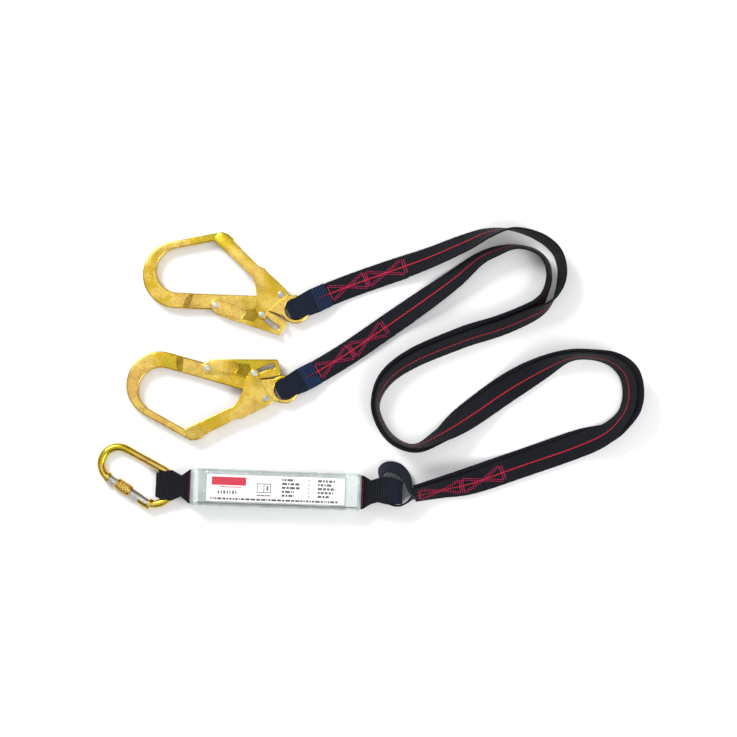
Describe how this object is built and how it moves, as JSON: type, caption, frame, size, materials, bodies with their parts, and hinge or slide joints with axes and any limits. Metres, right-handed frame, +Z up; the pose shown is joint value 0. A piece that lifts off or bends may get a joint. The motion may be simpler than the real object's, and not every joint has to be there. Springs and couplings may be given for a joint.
{
  "type": "shock absorbing lanyard",
  "caption": "Forked shock absorbing lanyard: webbing legs with steel scaffold hooks, joined to a film-covered energy absorber pack with a screw-gate karabiner.",
  "frame": {"origin": "on the surface that the lanyard lies on, under the middle of the absorber pack", "axes": "+Z up from the surface; +X from the karabiner end of the pack towards the legs (the pack itself is turned by -2 degrees); +Y towards the hooks"},
  "size_m": [0.7037, 0.3678, 0.035],
  "materials": {
    "cover_film": "crinkled translucent film over a pale lining",
    "label_print": "white label under the film",
    "red_thread": "thick sewing thread",
    "absorber_webbing": "woven absorber webbing",
    "leg_webbing": "ribbed webbing",
    "navy_sleeve": "smooth wear sleeve",
    "gold_zinc_steel": "yellow zinc plating with a faint iridescence",
    "bright_steel": "bright zinc plating",
    "spring_steel": "spring wire and strip"
  },
  "bodies": {
    "absorber_and_legs": {"absorber_cover": "cover_film", "absorber_tear_webbing": "absorber_webbing", "absorber_label": "label_print", "absorber_stitching": "red_thread", "karabiner_eye": "absorber_webbing", "legs_link_eye": "absorber_webbing", "link_wear_sleeve": "navy_sleeve", "leg_1_webbing": "leg_webbing", "leg_2_webbing": "leg_webbing", "legs_joint_loop": "leg_webbing", "leg_1_hook_loop": "leg_webbing", "leg_2_hook_loop": "leg_webbing", "leg_1_wear_sleeve": "navy_sleeve", "leg_2_wear_sleeve": "navy_sleeve", "leg_1_tail": "leg_webbing", "leg_2_tail": "leg_webbing", "leg_1_stitching": "red_thread", "leg_2_stitching": "red_thread"},
    "karabiner": {"karabiner_body": "gold_zinc_steel", "karabiner_hinge_pin": "bright_steel"},
    "karabiner_gate": {"karabiner_gate": "bright_steel", "karabiner_nose_pin": "bright_steel", "karabiner_plunger": "bright_steel", "karabiner_gate_spring": "spring_steel"},
    "screw_thread": {"screw_sleeve_thread": "gold_zinc_steel"},
    "screw_sleeve": {"screw_sleeve": "gold_zinc_steel"},
    "hook_1": {"hook_1_body": "gold_zinc_steel", "hook_1_gate_rivet": "bright_steel", "hook_1_lever_rivet": "bright_steel", "hook_1_lock_spring": "spring_steel"},
    "hook_1_gate": {"hook_1_gate": "gold_zinc_steel", "hook_1_lock_pin": "bright_steel", "hook_1_gate_spring": "spring_steel"},
    "hook_1_lock": {"hook_1_lock_lever": "gold_zinc_steel"},
    "hook_2": {"hook_2_body": "gold_zinc_steel", "hook_2_gate_rivet": "bright_steel", "hook_2_lever_rivet": "bright_steel", "hook_2_lock_spring": "spring_steel"},
    "hook_2_gate": {"hook_2_gate": "gold_zinc_steel", "hook_2_lock_pin": "bright_steel", "hook_2_gate_spring": "spring_steel"},
    "hook_2_lock": {"hook_2_lock_lever": "gold_zinc_steel"}
  },
  "joints": [
    {"name": "karabiner_swing", "type": "hinge", "parent": "absorber_and_legs", "child": "karabiner", "pos_m": [-0.13393, 0.0049, 0.008], "axis": [0.0349, 0.9994, 0], "range_deg": [-100, 100], "deforming": ["karabiner_eye"]},
    {"name": "karabiner_gate_open", "type": "hinge", "parent": "karabiner", "child": "karabiner_gate", "pos_m": [-0.1707, -0.01472, 0.008], "axis": [0, 0, -1], "range_deg": [0, 28], "stiffness_Nm_per_rad": 0.08, "springref_deg": -22.92},
    {"name": "screw_travel", "type": "slide", "parent": "karabiner_gate", "child": "screw_thread", "axis": [0.8392, -0.5438, 0], "range_m": [-0.0101, 0.0051]},
    {"name": "screw_turn", "type": "hinge", "parent": "screw_thread", "child": "screw_sleeve", "pos_m": [-0.1707, -0.01472, 0.008], "axis": [0.8392, -0.5438, 0], "range_deg": [-1440, 720]},
    {"name": "hook_1_swing", "type": "hinge", "parent": "absorber_and_legs", "child": "hook_1", "pos_m": [0.0385, 0.23938, 0.0096], "axis": [-0.4226, 0.9063, 0], "range_deg": [-100, 100], "deforming": ["leg_1_hook_loop", "leg_1_wear_sleeve"]},
    {"name": "hook_1_gate_open", "type": "hinge", "parent": "hook_1", "child": "hook_1_gate", "pos_m": [0.006, 0.2515, 0.0096], "axis": [0, 0, 1], "range_deg": [0, 38], "stiffness_Nm_per_rad": 0.3, "springref_deg": -17.19, "deforming": ["hook_1_gate_spring"]},
    {"name": "hook_1_lock_squeeze", "type": "hinge", "parent": "hook_1", "child": "hook_1_lock", "pos_m": [-0.07915, 0.23785, 0.0096], "axis": [0, 0, 1], "range_deg": [0, 4.8], "deforming": ["hook_1_lock_spring"]},
    {"name": "hook_2_swing", "type": "hinge", "parent": "absorber_and_legs", "child": "hook_2", "pos_m": [0.02409, 0.13654, 0.0096], "axis": [-0.4695, 0.8829, 0], "range_deg": [-100, 100], "deforming": ["leg_2_hook_loop", "leg_2_wear_sleeve"]},
    {"name": "hook_2_gate_open", "type": "hinge", "parent": "hook_2", "child": "hook_2_gate", "pos_m": [-0.013, 0.117, 0.0096], "axis": [0, 0, -1], "range_deg": [0, 38], "stiffness_Nm_per_rad": 0.3, "springref_deg": -17.19, "deforming": ["hook_2_gate_spring"]},
    {"name": "hook_2_lock_squeeze", "type": "hinge", "parent": "hook_2", "child": "hook_2_lock", "pos_m": [-0.08962, 0.15656, 0.0096], "axis": [0, 0, -1], "range_deg": [0, 4.8], "deforming": ["hook_2_lock_spring"]}
  ],
  "couplings": [
    {"joint": "screw_travel", "follows": "screw_turn", "m_per_rad": 0.00039789},
    {"joint": "hook_1_lock_squeeze", "follows": "hook_1_gate_open", "ratio": 0.125},
    {"joint": "hook_2_lock_squeeze", "follows": "hook_2_gate_open", "ratio": 0.125}
  ]
}
